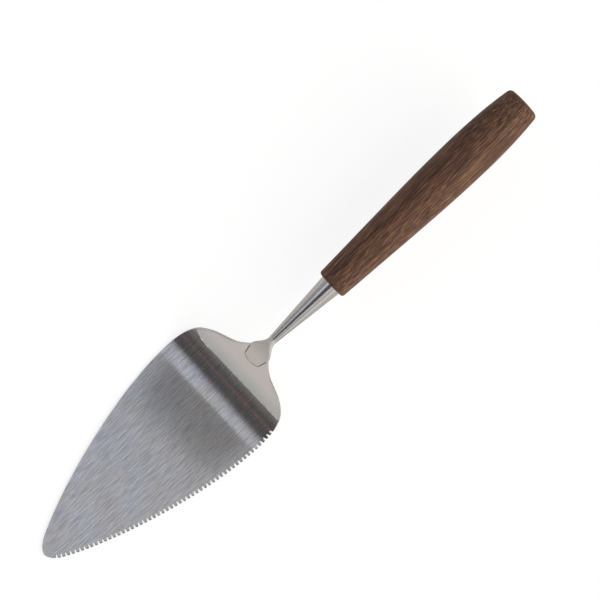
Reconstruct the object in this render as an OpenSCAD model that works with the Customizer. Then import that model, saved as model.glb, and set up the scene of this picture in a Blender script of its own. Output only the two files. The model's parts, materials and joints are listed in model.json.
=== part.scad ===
// Cake server: a cranked blade of steel sheet with one toothed edge, a forged stem whose
// flattened palm is welded on the blade's tongue, and a turned walnut handle glued on the tang.
// The blade lies flat on Z = 0, its tip points to -X and the teeth are on the -Y side.

/* [Blade] */
// Thickness of the steel sheet
sheet_t = 1.2; // [0.8:0.1:2]
// Width at the widest place, to the tips of the teeth
blade_w = 55.6; // [40:0.2:70]
// Length that lies flat, from the tip to the start of the bend
flat_len = 90; // [70:1:120]
// Length of the rounded tip
tip_len = 5.8; // [4:0.1:9]
// Width where the rounded tip ends
tip_w = 12.2; // [8:0.2:18]
// Distance along the sheet from the start of the bend to the widest place
widest_past_bend = 3; // [0:0.5:6]
// Length along the sheet from the widest place to the end of the tongue
shoulder_len = 33.8; // [32:0.1:44]
// Width of the tongue at its end, under the palm
tongue_w = 9.6; // [8:0.1:10]

/* [Teeth] */
// Distance from one tooth to the next along the edge
tooth_pitch = 2; // [1.6:0.05:2.1]
// Depth of the gaps between the teeth
tooth_depth = 1.4; // [0.5:0.05:2]
// Width at its end of the first tooth, beside the tip of the blade
first_tooth_w = 1.1; // [0.4:0.05:1.15]
// Width at its end of the last tooth, on the shoulder
last_tooth_w = 0.75; // [0.4:0.05:1.15]
// Width of a gap at its bottom
gap_root_w = 0.4; // [0.2:0.05:0.45]
// Plain edge from the tip to the middle of the first gap
plain_edge = 5.2; // [4:0.1:12]
// Edge from the widest place back to where the teeth end, round the shoulder
teeth_past_widest = 8.2; // [4:0.1:16]

/* [Crank] */
// Radius of the gentle bend that leads in, on the upper face
lead_r = 45; // [30:1:60]
// Slope at the end of the gentle bend
lead_slope = 10; // [6:1:14]
// Radius of the main bend, on the upper face
crank_r = 17; // [8:0.5:20]
// Slope at the end of the main bend
crank_slope = 42; // [36:1:43]
// Radius of the gentle bend that follows, on the upper face
ease_r = 30; // [24:1:60]
// Slope of the tongue and the palm
tongue_slope = 47; // [44:1:50]

/* [Palm] */
// Thickness of the palm
palm_t = 1.3; // [1:0.1:2]
// Length of the straight palm, from its free end to the bend of the neck
palm_len = 8.3; // [7:0.1:11]
// Width behind the rounded free end
palm_end_w = 8.4; // [6.5:0.1:9.5]
// Width where the palm starts to narrow to the neck
palm_w = 10.1; // [9.6:0.1:12]
// Length of the rounded free end, which is half an ellipse
palm_end_len = 2.2; // [1:0.1:3]
// Rounding of the palm's long edges
palm_edge_r = 0.4; // [0.2:0.05:0.5]
// Distance before the bend at which the palm starts to narrow
narrow_before_bend = 0.6; // [0.3:0.1:2]

/* [Stem] */
// Radius of the neck's bend, along its middle
neck_bend_r = 9.3; // [7:0.1:11]
// Diameter of the stem at its small end
neck_d = 3.6; // [3:0.05:4.5]
// Diameter of the stem where it meets the handle
stem_d = 9.5; // [7:0.1:11]
// Length of the tapered stem
stem_len = 32.2; // [24:0.2:44]
// Slope of the stem and the handle
handle_slope = 3; // [0:0.5:6]

/* [Tang] */
// Diameter of the tang
tang_d = 5; // [4:0.1:5.5]
// Length of the tang in the handle
tang_len = 62; // [45:1:72]
// Number of glue grooves round the tang
groove_count = 5; // [2:1:7]
// Width of a glue groove
groove_w = 2; // [1:0.1:3]
// Depth of a glue groove
groove_depth = 0.4; // [0.2:0.05:0.8]
// Distance from one groove to the next
groove_pitch = 8; // [5:0.5:8]
// Distance from the shoulder of the stem to the first groove
groove_start = 14; // [6:1:16]
// Chamfer at the end of the tang
tang_chamfer = 0.6; // [0.3:0.1:1]

/* [Handle] */
// Length of the handle to the edge of its rear end
handle_len = 104.9; // [90:0.1:130]
// Diameter at the front end
front_d = 13.3; // [12:0.1:16]
// Diameter at the fullest place
belly_d = 18.9; // [17:0.1:24]
// Distance from the front end to the fullest place
belly_at = 74; // [60:1:80]
// Diameter at the rear end, before its rounded edge
rear_d = 15.6; // [13:0.1:16.5]
// Radius of the front edge
front_edge_r = 1.2; // [0.5:0.1:1.5]
// Radius of the rear edge
rear_edge_r = 2.2; // [1:0.1:4]
// Height of the slightly domed rear end
rear_dome = 0.3; // [0.1:0.1:1]
// Diameter of the bore for the tang
bore_d = 6; // [5.6:0.1:7]
// Depth of the bore past the end of the tang
bore_past_tang = 4; // [3:0.5:8]
// Angle of the drill point at the bottom of the bore
drill_angle = 118; // [90:1:135]
// Height of the glue above the end of the tang
glue_past_tang = 1.5; // [0.5:0.1:2.5]

/* [Hidden] */
$fn = 64;

// Steps along each curve of the outline, the palm and the handle
flank_steps = 24;
curve_steps = 8;
corner_steps = 5;
end_steps = 8;
neck_steps = 14;
section_steps = 5;
gentle_steps = 6;
crank_steps = 15;

// Free space between the end of the tongue and the neck that bends away above it
tongue_clear = 2;
// Step from the small end of the stem down to the forged neck
neck_step = 0.04;
// Length by which the forged neck runs into the stem
neck_overlap = 0.5;
// Share of the neck's radius that is the rounding of its last section
neck_round_share = 0.94;
// Overrun of cutting bodies past the faces that they cut
overrun = 2;

// Places of the outline's handles, as shares of the stretch that each curve spans
tip_shares = [[0, 0], [0, 0.33], [0.45, 0.74], [1, 1]];
flank_shares = [[0, 0], [0.232, 0.47], [0.69, 1], [1, 1]];
shoulder_shares = [[0, 1], [0.2, 1], [0.525, 0.974], [0.705, 0.511]];
neck_shares = [[0.705, 0.511], [0.822, 0.208], [0.803, 0.203], [1, 0]];
belly_shares = [[0, 0], [0.38, 0.446], [0.7, 1], [1, 1]];
rear_shares = [[0, 1], [0.41, 1], [0.75, 0.61], [1, 0]];

widest_at = flat_len + widest_past_bend;

function cubic(p, t) =
    pow(1 - t, 3) * p[0] + 3 * pow(1 - t, 2) * t * p[1]
    + 3 * (1 - t) * t * t * p[2] + pow(t, 3) * p[3];
function between(from, to, t) = from + (to - from) * t;
function ease(t) = let (c = min(max(t, 0), 1)) c * c * (3 - 2 * c);
function heading(slope) = [cos(slope), sin(slope)];
function upward(slope) = [-sin(slope), cos(slope)];
function arc_length(r, from, to) = r * abs(to - from) * PI / 180;
function reversed(list) = [for (i = [len(list) - 1:-1:0]) list[i]];
// Points of one curve of an outline, in the box from low to high, without its first point
function span(shares, low, high, steps) =
    [for (i = [1:steps]) let (p = cubic(shares, i / steps))
        [low[0] + p[0] * (high[0] - low[0]), low[1] + p[1] * (high[1] - low[1])]];

// Upper face of the sheet in the XZ plane, at the end of each stretch
function bend_end(at, r, from, to) = at + r * [sin(to) - sin(from), cos(from) - cos(to)];
flat_end = [flat_len, sheet_t];
lead_end = bend_end(flat_end, lead_r, 0, lead_slope);
crank_end = bend_end(lead_end, crank_r, lead_slope, crank_slope);
ease_end = bend_end(crank_end, ease_r, crank_slope, tongue_slope);

// Lengths along the upper face at which those stretches end
lead_run = flat_len + arc_length(lead_r, 0, lead_slope);
crank_run = lead_run + arc_length(crank_r, lead_slope, crank_slope);
ease_run = crank_run + arc_length(ease_r, crank_slope, tongue_slope);
tongue_run = widest_at + shoulder_len;

// Point of the upper face of the tongue at a length along the sheet
function on_tongue(run) = ease_end + (run - ease_run) * heading(tongue_slope);
// X of the upper face at a length along the sheet: what the bends leave of a length, seen from above
function bent_x(run, r, from, start_x, start_run) =
    start_x + r * (sin(from + (run - start_run) / r * 180 / PI) - sin(from));
function upper_x(run) =
    run <= flat_len ? run :
    run <= lead_run ? bent_x(run, lead_r, 0, flat_end[0], flat_len) :
    run <= crank_run ? bent_x(run, crank_r, lead_slope, lead_end[0], lead_run) :
    run <= ease_run ? bent_x(run, ease_r, crank_slope, crank_end[0], crank_run) :
    on_tongue(run)[0];
// X of the middle of the sheet there, which is where the outline is cut down through it
function slope_at(run) =
    lookup(run, [[flat_len, 0], [lead_run, lead_slope], [crank_run, crank_slope], [ease_run, tongue_slope]]);
function formed_x(run) = upper_x(run) + sheet_t / 2 * sin(slope_at(run));

// Outline of the stamped sheet before it is bent, plain side, from the tip to the tongue
tip_points = span(tip_shares, [0, 0], [tip_len, tip_w / 2], curve_steps);
flank_points = span(flank_shares, [tip_len, tip_w / 2], [widest_at, blade_w / 2], flank_steps);
shoulder_points = span(shoulder_shares, [widest_at, tongue_w / 2], [tongue_run, blade_w / 2], curve_steps);
neck_points = span(neck_shares, [widest_at, tongue_w / 2], [tongue_run, blade_w / 2], curve_steps);
side_points = concat([[0, 0]], tip_points, flank_points, shoulder_points, neck_points);

// Length along the edge at each of those points, and the point and outward side at a length
function running(points, i = 1, sum = [0]) =
    i == len(points) ? sum :
    running(points, i + 1, concat(sum, [sum[i - 1] + norm(points[i] - points[i - 1])]));
side_runs = running(side_points);
side_x = [for (i = [0:len(side_points) - 1]) [side_runs[i], side_points[i][0]]];
side_y = [for (i = [0:len(side_points) - 1]) [side_runs[i], side_points[i][1]]];
function edge_at(run) = [lookup(run, side_x), lookup(run, side_y)];
function outward_at(run) =
    let (d = edge_at(run + tooth_pitch / 2) - edge_at(run - tooth_pitch / 2))
    [-d[1], d[0]] / norm(d);

// Toothed side, drawn on the plain side and mirrored later
widest_edge_run = side_runs[len(tip_points) + len(flank_points)];
tooth_count = floor((widest_edge_run + teeth_past_widest - plain_edge) / tooth_pitch);
first_gap = plain_edge;
last_gap = first_gap + tooth_count * tooth_pitch;
function mouth_w(run) =
    tooth_pitch - between(first_tooth_w, last_tooth_w, (run - first_gap) / (last_gap - first_gap));
function gap_points(run) =
    let (inward = -tooth_depth * outward_at(run), half_mouth = mouth_w(run) / 2)
    [edge_at(run - half_mouth), edge_at(run - gap_root_w / 2) + inward,
        edge_at(run + gap_root_w / 2) + inward, edge_at(run + half_mouth)];
toothed_points = concat(
    [for (i = [1:len(side_points) - 1]) if (side_runs[i] < first_gap - mouth_w(first_gap) / 2) side_points[i]],
    [for (i = [0:tooth_count]) each gap_points(first_gap + i * tooth_pitch)],
    [for (i = [1:len(side_points) - 1]) if (side_runs[i] > last_gap + mouth_w(last_gap) / 2) side_points[i]]);

// Side view of the sheet as one outline: the upper face, then the lower face back to the tip
function bend_points(at, r, from, to, steps) =
    [for (i = [1:steps]) let (slope = from + (to - from) * i / steps)
        [bend_end(at, r, from, slope), slope]];
upper_face = concat(
    [[[-overrun, sheet_t], 0], [flat_end, 0]],
    bend_points(flat_end, lead_r, 0, lead_slope, gentle_steps),
    bend_points(lead_end, crank_r, lead_slope, crank_slope, crank_steps),
    bend_points(crank_end, ease_r, crank_slope, tongue_slope, gentle_steps),
    [[on_tongue(tongue_run + overrun), tongue_slope]]);
module blade_side_view() {
    upper = [for (p = upper_face) p[0]];
    lower = [for (p = reversed(upper_face)) p[0] - sheet_t * upward(p[1])];
    polygon(concat(upper, lower));
}

module blade_outline() {
    formed = [for (p = side_points) [formed_x(p[0]), p[1]]];
    toothed = [for (p = reversed(toothed_points)) [formed_x(p[0]), -p[1]]];
    polygon(concat(formed, toothed));
}

// Path of the middle of the palm and the neck in the XZ plane, and its slope
neck_turn = arc_length(neck_bend_r, tongue_slope, handle_slope);
palm_foot = on_tongue(tongue_run + tongue_clear - palm_len);
palm_start = palm_foot + palm_t / 2 * upward(tongue_slope);
bend_start = palm_start + palm_len * heading(tongue_slope);
function path_slope(run) =
    tongue_slope - (tongue_slope - handle_slope) * min(max((run - palm_len) / neck_turn, 0), 1);
function path_at(run) =
    run <= palm_len ? palm_start + run * heading(tongue_slope) :
    run <= palm_len + neck_turn ?
        bend_start + neck_bend_r * (upward(path_slope(run)) - upward(tongue_slope)) :
    neck_end + (run - palm_len - neck_turn) * heading(handle_slope);
neck_end = bend_start + neck_bend_r * (upward(handle_slope) - upward(tongue_slope));

// Sections of the palm and the neck: half width, half thickness and corner rounding
narrow_start = palm_len - narrow_before_bend;
narrow_len = narrow_before_bend + neck_turn;
forged_neck_r = neck_d / 2 - neck_step;
function palm_half_w(run) =
    run <= palm_end_len ? palm_end_w / 2 * sin(acos(1 - run / palm_end_len)) :
    run <= narrow_start ?
        between(palm_end_w / 2, palm_w / 2, (run - palm_end_len) / (narrow_start - palm_end_len)) :
    between(palm_w / 2, forged_neck_r, ease((run - narrow_start) / narrow_len));
function thicken(run) = ease((run - palm_len) / neck_turn);
function palm_half_t(run) = between(palm_t / 2, forged_neck_r, thicken(run));
function palm_rounding(run) = between(palm_edge_r, forged_neck_r * neck_round_share, thicken(run));

// Corner points of a rounded rectangle, anticlockwise
function section(w, h, r) =
    [for (corner = [0:3], j = [0:section_steps])
        let (a = 90 * (corner + j / section_steps),
            side_w = corner == 0 || corner == 3 ? 1 : -1,
            side_h = corner < 2 ? 1 : -1)
        [side_w * (w - r) + r * cos(a), side_h * (h - r) + r * sin(a)]];
function placed_section(run) =
    let (at = path_at(run), up = upward(path_slope(run)))
    [for (p = section(palm_half_w(run), palm_half_t(run), palm_rounding(run)))
        [at[0] + p[1] * up[0], p[0], at[1] + p[1] * up[1]]];

palm_runs = concat(
    [for (i = [1:end_steps]) palm_end_len * (1 - cos(90 * i / end_steps))],
    [for (i = [0:neck_steps]) narrow_start + narrow_len * i / neck_steps],
    [palm_len + neck_turn + neck_overlap]);
ring_size = 4 * (section_steps + 1);

// Palm and neck as one skin over their sections, from the free end to the stem
module forged_palm() {
    rings = len(palm_runs);
    points = [for (run = palm_runs) each placed_section(run)];
    sides = [for (i = [0:rings - 2], j = [0:ring_size - 1])
        let (k = (j + 1) % ring_size, a = i * ring_size, b = a + ring_size)
        each [[a + j, b + k, a + k], [a + j, b + j, b + k]]];
    start_cap = [for (j = [0:ring_size - 1]) j];
    end_cap = [for (j = [ring_size - 1:-1:0]) (rings - 1) * ring_size + j];
    polyhedron(points, concat([start_cap, end_cap], sides));
}

// Turns what is drawn along +Z to lie along the stem, from its small end
module along_stem() {
    translate([neck_end[0], 0, neck_end[1]]) rotate([0, 90 - handle_slope, 0]) children();
}

// Tang from the shoulder of the stem, as radius and distance
tang_r = tang_d / 2;
groove_r = tang_r - groove_depth;
function groove_at(i) = groove_start + i * groove_pitch;
tang_profile = concat(
    [[0, 0], [tang_r, 0]],
    [for (i = [0:groove_count - 1]) each [[tang_r, groove_at(i)], [groove_r, groove_at(i)],
        [groove_r, groove_at(i) + groove_w], [tang_r, groove_at(i) + groove_w]]],
    [[tang_r, tang_len - tang_chamfer], [tang_r - tang_chamfer, tang_len], [0, tang_len]]);

// Outline of the turned handle, as radius and distance from its front end
front_points = [for (i = [0:corner_steps]) let (a = 90 * i / corner_steps)
    [front_d / 2 - front_edge_r * (1 - sin(a)), front_edge_r * (1 - cos(a))]];
rear_edge_at = handle_len - rear_edge_r;
belly_points = span(belly_shares, [front_edge_r, front_d / 2], [belly_at, belly_d / 2], 2 * curve_steps);
rear_points = span(rear_shares, [belly_at, rear_d / 2], [rear_edge_at, belly_d / 2], curve_steps);
rear_edge_points = [for (i = [1:corner_steps]) let (a = 90 * i / corner_steps)
    [rear_d / 2 - rear_edge_r * (1 - cos(a)), rear_edge_at + rear_edge_r * sin(a)]];
rear_face_r = rear_d / 2 - rear_edge_r;
dome_points = [for (i = [1:corner_steps]) let (out = 1 - i / corner_steps)
    [rear_face_r * out, handle_len + rear_dome * (1 - out * out)]];
side_of_handle = [for (p = concat(belly_points, rear_points)) [p[1], p[0]]];
handle_profile = concat([[0, 0]], front_points, side_of_handle, rear_edge_points, dome_points);

// The part stands with its middle length over the origin
overall_len = neck_end[0] + (stem_len + handle_len + rear_dome) * cos(handle_slope);
module centred() {
    translate([-overall_len / 2, 0, 0]) children();
}

module blade() {
    top = on_tongue(tongue_run + overrun)[1];
    color("silver") centred() intersection() {
        translate([0, 0, -overrun]) linear_extrude(top + 2 * overrun) blade_outline();
        rotate([90, 0, 0]) linear_extrude(blade_w + overrun, center = true) blade_side_view();
    }
}

module stem() {
    color("gainsboro") centred() {
        forged_palm();
        along_stem() {
            rotate_extrude() polygon([[0, 0], [neck_d / 2, 0], [stem_d / 2, stem_len], [0, stem_len]]);
            translate([0, 0, stem_len]) rotate_extrude() polygon(tang_profile);
        }
    }
}

module glue_sleeve() {
    color("khaki") centred() along_stem() translate([0, 0, stem_len]) rotate_extrude() difference() {
        square([bore_d / 2, tang_len + glue_past_tang]);
        polygon(tang_profile);
    }
}

module handle() {
    bore_len = tang_len + bore_past_tang;
    point_len = bore_d / 2 / tan(drill_angle / 2);
    bore_profile = [[0, -overrun], [bore_d / 2, -overrun], [bore_d / 2, bore_len],
        [0, bore_len + point_len]];
    color("saddlebrown") centred() along_stem() translate([0, 0, stem_len]) difference() {
        rotate_extrude() polygon(handle_profile);
        rotate_extrude() polygon(bore_profile);
    }
}

blade();
stem();
glue_sleeve();
handle();
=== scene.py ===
"""Looks of a cake server: a brushed, cranked blade with a toothed edge, a forged stem
whose palm is welded on the blade, and a turned walnut handle. Sizes are in metres."""

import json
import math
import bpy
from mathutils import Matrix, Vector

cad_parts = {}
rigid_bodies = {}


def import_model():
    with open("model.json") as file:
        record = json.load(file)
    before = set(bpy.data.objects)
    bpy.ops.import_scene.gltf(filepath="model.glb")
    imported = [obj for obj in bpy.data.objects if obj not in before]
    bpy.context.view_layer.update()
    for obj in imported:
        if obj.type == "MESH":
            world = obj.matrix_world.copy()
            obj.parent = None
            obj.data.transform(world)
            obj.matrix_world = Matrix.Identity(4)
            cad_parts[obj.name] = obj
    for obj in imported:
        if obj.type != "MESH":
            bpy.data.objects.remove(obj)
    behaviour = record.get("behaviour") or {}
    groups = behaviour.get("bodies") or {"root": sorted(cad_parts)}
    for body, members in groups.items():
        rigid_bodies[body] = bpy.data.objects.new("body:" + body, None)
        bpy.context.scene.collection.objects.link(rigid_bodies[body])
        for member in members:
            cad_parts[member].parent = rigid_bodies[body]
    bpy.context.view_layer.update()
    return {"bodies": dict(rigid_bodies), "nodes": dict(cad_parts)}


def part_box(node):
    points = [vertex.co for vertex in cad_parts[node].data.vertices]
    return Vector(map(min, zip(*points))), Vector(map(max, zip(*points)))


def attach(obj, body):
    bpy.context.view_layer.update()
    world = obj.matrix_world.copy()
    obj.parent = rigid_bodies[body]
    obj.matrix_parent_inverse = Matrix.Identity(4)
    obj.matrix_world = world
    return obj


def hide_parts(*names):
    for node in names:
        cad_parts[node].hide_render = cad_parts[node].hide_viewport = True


bl_info = {
    "name": "Cake Server Looks",
    "version": (1, 0, 0),
    "blender": (4, 5, 0),
    "location": "3D View > Sidebar > Cake Server",
    "description": "Builds the finished blade, stem and handle over the packed solids",
    "category": "Object",
}

import bmesh
import bpy
import numpy as np
from bpy.props import FloatProperty, FloatVectorProperty, IntProperty, PointerProperty, StringProperty

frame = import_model()

MM = 0.001
BODY = next(iter(frame["bodies"]))
TIP_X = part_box("blade")[0].x


# Properties

def size(name, description, millimetres):
    """A length that a user may change, given in millimetres and kept in metres."""
    return FloatProperty(name=name, description=description, default=millimetres * MM,
                         min=0.0, unit="LENGTH", subtype="DISTANCE", precision=5)


def slope(name, description, degrees):
    """A slope that a user may change, given in degrees and kept in radians."""
    return FloatProperty(name=name, description=description, default=math.radians(degrees),
                         unit="ROTATION", subtype="ANGLE")


def colour(name, description, srgb_hex):
    """A colour that a user may change, given as an sRGB hex value."""
    return StringProperty(name=name, description=description, default=srgb_hex)


class CakeServerBlade(bpy.types.PropertyGroup):
    """Sizes of the sheet before and after it is bent."""
    sheet_t: size("Sheet thickness", "Thickness of the steel sheet", 1.2)
    blade_w: size("Blade width", "Width at the widest place, to the tips of the teeth", 55.6)
    flat_len: size("Flat length", "Length that lies flat, from the tip to the bend", 90)
    tip_len: size("Tip length", "Length of the rounded tip", 5.8)
    tip_w: size("Tip width", "Width where the rounded tip ends", 12.2)
    widest_past_bend: size("Widest place", "Distance from the bend to the widest place", 3)
    shoulder_len: size("Shoulder length", "Length from the widest place to the tongue's end", 33.8)
    tongue_w: size("Tongue width", "Width of the tongue at its end, under the palm", 9.6)
    lead_r: size("Lead radius", "Radius of the gentle bend that leads in", 45)
    lead_slope: slope("Lead slope", "Slope at the end of the gentle bend", 10)
    crank_r: size("Crank radius", "Radius of the main bend", 17)
    crank_slope: slope("Crank slope", "Slope at the end of the main bend", 42)
    ease_r: size("Ease radius", "Radius of the gentle bend that follows", 30)
    tongue_slope: slope("Tongue slope", "Slope of the tongue and the palm", 47)
    edge_round: size("Edge rounding", "Rounding that tumbling leaves on the stamped edge", 0.14)
    tip_grind: size("Tip grind", "Length of the ground end of each tooth", 0.36)
    spring_back: slope("Spring back", "Slope shown just before the bend, in the shading only", 2.8)
    press_twist: slope("Press twist", "Turn of the bend's shading from its middle to each long edge", 1.1)
    press_hook: size("Press hook", "Lag of the press line at the plain edge, in the shading only", 3)
    spring_side: size("Spring side", "Strip along each edge in which the spring back fades away", 15)
    press_line: slope("Press line", "Slope at which a crisp line crosses the bend, in the shading only", 40.4)
    spring_len: size("Spring back length", "Length of the flat over which that slope grows", 30)


class CakeServerTeeth(bpy.types.PropertyGroup):
    """Sizes of the toothed edge."""
    pitch: size("Tooth pitch", "Distance from one tooth to the next along the edge", 2)
    depth: size("Tooth depth", "Depth of the gaps between the teeth", 1.4)
    first_w: size("First tooth width", "Width at its end of the first tooth, by the blade's tip", 1.1)
    last_w: size("Last tooth width", "Width at its end of the last tooth, on the shoulder", 0.75)
    root_w: size("Gap root width", "Width of a gap at its bottom", 0.4)
    plain_edge: size("Plain edge", "Edge from the tip to the middle of the first gap", 5.2)
    past_widest: size("Teeth past widest", "Edge from the widest place to where the teeth end", 8.2)
    point_step: size("Point spacing", "Spacing of the points that the outline is cut into", 0.1)


class CakeServerStem(bpy.types.PropertyGroup):
    """Sizes of the forged palm, the neck, the tapered stem and its tang."""
    palm_t: size("Palm thickness", "Thickness of the palm", 1.3)
    palm_len: size("Palm length", "Length of the straight palm", 8.3)
    palm_end_w: size("Palm end width", "Width behind the palm's rounded free end", 8.4)
    palm_w: size("Palm width", "Width where the palm starts to narrow", 10.1)
    end_len: size("Palm end length", "Length of the rounded free end, half an ellipse", 2.2)
    edge_r: size("Palm edge rounding", "Rounding of the palm's edges", 0.4)
    narrow_before_bend: size("Narrowing", "Distance before the bend where the palm narrows", 0.6)
    tongue_clear: size("Tongue clearance", "Space between the tongue's end and the neck", 2)
    neck_bend_r: size("Neck radius", "Radius of the neck's bend, along its middle", 9.3)
    neck_d: size("Neck diameter", "Diameter of the stem at its small end", 3.6)
    stem_d: size("Stem diameter", "Diameter of the stem where it meets the handle", 9.5)
    stem_len: size("Stem length", "Length of the tapered stem", 32.2)
    handle_slope: slope("Handle slope", "Slope of the stem and the handle", 3)
    tang_d: size("Tang diameter", "Diameter of the tang in the handle", 5)
    tang_len: size("Tang length", "Length of the tang", 62)
    groove_w: size("Groove width", "Width of a glue groove", 2)
    groove_depth: size("Groove depth", "Depth of a glue groove", 0.4)
    groove_pitch: size("Groove pitch", "Distance from one groove to the next", 8)
    groove_start: size("Groove start", "Distance from the shoulder to the first groove", 14)
    groove_count: IntProperty(name="Groove count", description="Number of glue grooves", default=5, min=1)
    tang_chamfer: size("Tang chamfer", "Chamfer at the end of the tang", 0.6)
    # The weld line is a dark bead of painted shade in the joint between the palm and the tongue
    weld_line: size("Weld line", "Thickness of the dark line where the palm meets the tongue", 0.26)


class CakeServerHandle(bpy.types.PropertyGroup):
    """Sizes of the turned handle."""
    length: size("Handle length", "Length to the edge of the rear end", 104.9)
    front_d: size("Front diameter", "Diameter at the front end", 13.3)
    belly_d: size("Belly diameter", "Diameter at the fullest place", 18.9)
    belly_at: size("Belly place", "Distance from the front end to the fullest place", 74)
    rear_d: size("Rear diameter", "Diameter at the rear end", 15.6)
    front_edge_r: size("Front edge radius", "Radius of the front edge", 1.2)
    rear_edge_r: size("Rear edge radius", "Radius of the rear edge", 2.2)
    rear_dome: size("Rear dome", "Height of the domed rear end", 0.3)
    bore_d: size("Bore diameter", "Diameter of the bore for the tang", 6)
    bore_past_tang: size("Bore past tang", "Depth of the bore past the tang", 4)
    drill_angle: slope("Drill angle", "Angle of the drill point at the bottom", 118)
    segments: IntProperty(name="Segments", description="Faces round the handle", default=128, min=24)


class CakeServerFinish(bpy.types.PropertyGroup):
    """Colours of the finishes, as sRGB hex values."""
    steel: colour("Steel", "Stainless steel between the hairlines", "#D0CECB")
    steel_line: colour("Steel hairline", "Bottom of the brushed hairlines", "#908F94")
    steel_cool: colour("Cool steel", "Cooler places of the steel", "#CCD4DF")
    steel_neck: colour("Neck steel", "Steel of the shoulder towards the neck", "#CFCAC8")
    steel_pressed: colour("Pressed steel", "Even steel behind the press line", "#BABDBC")
    # Painted shade: the dark of the teeth's ground ends, and of the grains of the weld line
    steel_burr: colour("Ground steel", "Ends of the teeth, dulled by grinding", "#5E5853")
    # Painted shade: the dark of the weld line and the palm's outline, and of the painted reflection along the
    # press line
    weld: colour("Weld oxide", "Oxide along the weld", "#4A423D")
    forging: colour("Forged steel", "Stainless steel of the stem", "#B8B5B1")
    forging_palm: colour("Forging palm", "Ground face of the palm", "#E0DBD6")
    forging_skin: colour("Forging skin", "Paler skin of the palm and the neck", "#CCC7C2")
    walnut_dark: colour("Dark walnut", "Late wood of the walnut", "#44302A")
    walnut_mid: colour("Walnut", "Body colour of the walnut", "#63483B")
    # The light walnut is also the paler side of the handle's painted light and shade
    walnut_light: colour("Light walnut", "Early wood of the walnut", "#8F6A54")
    walnut_pore: colour("Walnut pore", "Open pores of the walnut", "#2C1F1A")
    # Painted glint: the colour of fibres that catch the light
    walnut_thread: colour("Walnut thread", "Light fibres of the walnut", "#A57B58")
    epoxy: colour("Epoxy", "Cured glue in the bore", "#C9A968")


class CakeServerStage(bpy.types.PropertyGroup):
    """Camera and light of the picture."""
    camera_height: size("Camera height", "Height of the lens over the floor", 1200)
    frame_w: size("Frame width", "Width that the picture takes in at the floor", 243)
    centre: FloatVectorProperty(name="Centre", description="Point of the floor in the picture's middle",
                                size=2, default=(0.01396, 0.00406), unit="LENGTH", subtype="XYZ")
    turn: slope("Turn", "Turn of the server in the picture, from the picture's right", 43.39)
    floor: colour("Floor", "Pale floor under the server", "#F7F6F4")
    floor_share: FloatProperty(name="Shadow share", default=0.35, min=0.0, max=1.0, subtype="FACTOR",
                               description="Share of the lit floor in the white that is seen")


GROUPS = {
    "cake_server_blade": CakeServerBlade,
    "cake_server_teeth": CakeServerTeeth,
    "cake_server_stem": CakeServerStem,
    "cake_server_handle": CakeServerHandle,
    "cake_server_finish": CakeServerFinish,
    "cake_server_stage": CakeServerStage,
}


# Helpers for nodes, colours and meshes

def linear(hex_colour):
    """An sRGB hex value as linear red, green, blue and 1."""
    parts = [int(hex_colour[i:i + 2], 16) / 255 for i in (1, 3, 5)]
    return [c / 12.92 if c <= 0.04045 else ((c + 0.055) / 1.055) ** 2.4 for c in parts] + [1.0]


def add_node(tree, kind, settings=None, inputs=None):
    """Adds a node; settings are its own options, and inputs are values or other nodes' outputs by socket."""
    made = tree.nodes.new(kind)
    for name, value in (settings or {}).items():
        setattr(made, name, value)
    for socket, value in (inputs or {}).items():
        if isinstance(value, bpy.types.NodeSocket):
            tree.links.new(value, made.inputs[socket])
        else:
            made.inputs[socket].default_value = value
    return made


def calc(tree, operation, *values):
    """Output of a math node."""
    return add_node(tree, "ShaderNodeMath", {"operation": operation}, dict(enumerate(values))).outputs[0]


def vector_calc(tree, operation, *values):
    """Output of a vector math node. The second value of SCALE is its factor, and LENGTH gives a number."""
    inputs = {0: values[0], "Scale": values[1]} if operation == "SCALE" else dict(enumerate(values))
    made = add_node(tree, "ShaderNodeVectorMath", {"operation": operation}, inputs)
    return made.outputs["Value" if operation == "LENGTH" else "Vector"]


def remap(tree, value, low, high, to_low=0.0, to_high=1.0, smooth=False):
    """Output of a clamped map range node, straight or eased."""
    kind = "SMOOTHSTEP" if smooth else "LINEAR"
    inputs = {"Value": value, "From Min": low, "From Max": high, "To Min": to_low, "To Max": to_high}
    return add_node(tree, "ShaderNodeMapRange", {"interpolation_type": kind}, inputs).outputs[0]


def split(tree, vector):
    """Outputs X, Y and Z of a vector."""
    return add_node(tree, "ShaderNodeSeparateXYZ", None, {0: vector}).outputs


def turned(tree, axis, vector, angle):
    """A vector turned about one axis through the origin."""
    return add_node(tree, "ShaderNodeVectorRotate", {"rotation_type": axis + "_AXIS"},
                    {"Vector": vector, "Angle": angle}).outputs[0]


def blend(tree, share, first, second):
    """Colour between two."""
    return add_node(tree, "ShaderNodeMix", {"data_type": "RGBA"}, {0: share, 6: first, 7: second}).outputs[2]


def stretched_noise(tree, vector, cell, detail, roughness, turn=0.0):
    """Value of a noise whose cells have the given lengths."""
    placed = add_node(tree, "ShaderNodeMapping", None,
                      {"Vector": vector, "Rotation": (0, 0, turn), "Scale": [1 / length for length in cell]})
    inputs = {"Vector": placed.outputs[0], "Scale": 1.0, "Detail": detail, "Roughness": roughness}
    return add_node(tree, "ShaderNodeTexNoise", None, inputs).outputs[0]


def relief(tree, height, strength, distance):
    """Normal of a surface with a fine relief."""
    return add_node(tree, "ShaderNodeBump", None,
                    {"Height": height, "Strength": strength, "Distance": distance}).outputs[0]


def new_material(name):
    """An empty node material and its output node."""
    made = bpy.data.materials.new(name)
    made.use_nodes = True
    made.node_tree.nodes.clear()
    return made, made.node_tree, add_node(made.node_tree, "ShaderNodeOutputMaterial")


def end_with_surface(tree, output, inputs):
    """Ends a material with one principled shader."""
    shader = add_node(tree, "ShaderNodeBsdfPrincipled", None, inputs)
    tree.links.new(shader.outputs[0], output.inputs[0])


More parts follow.
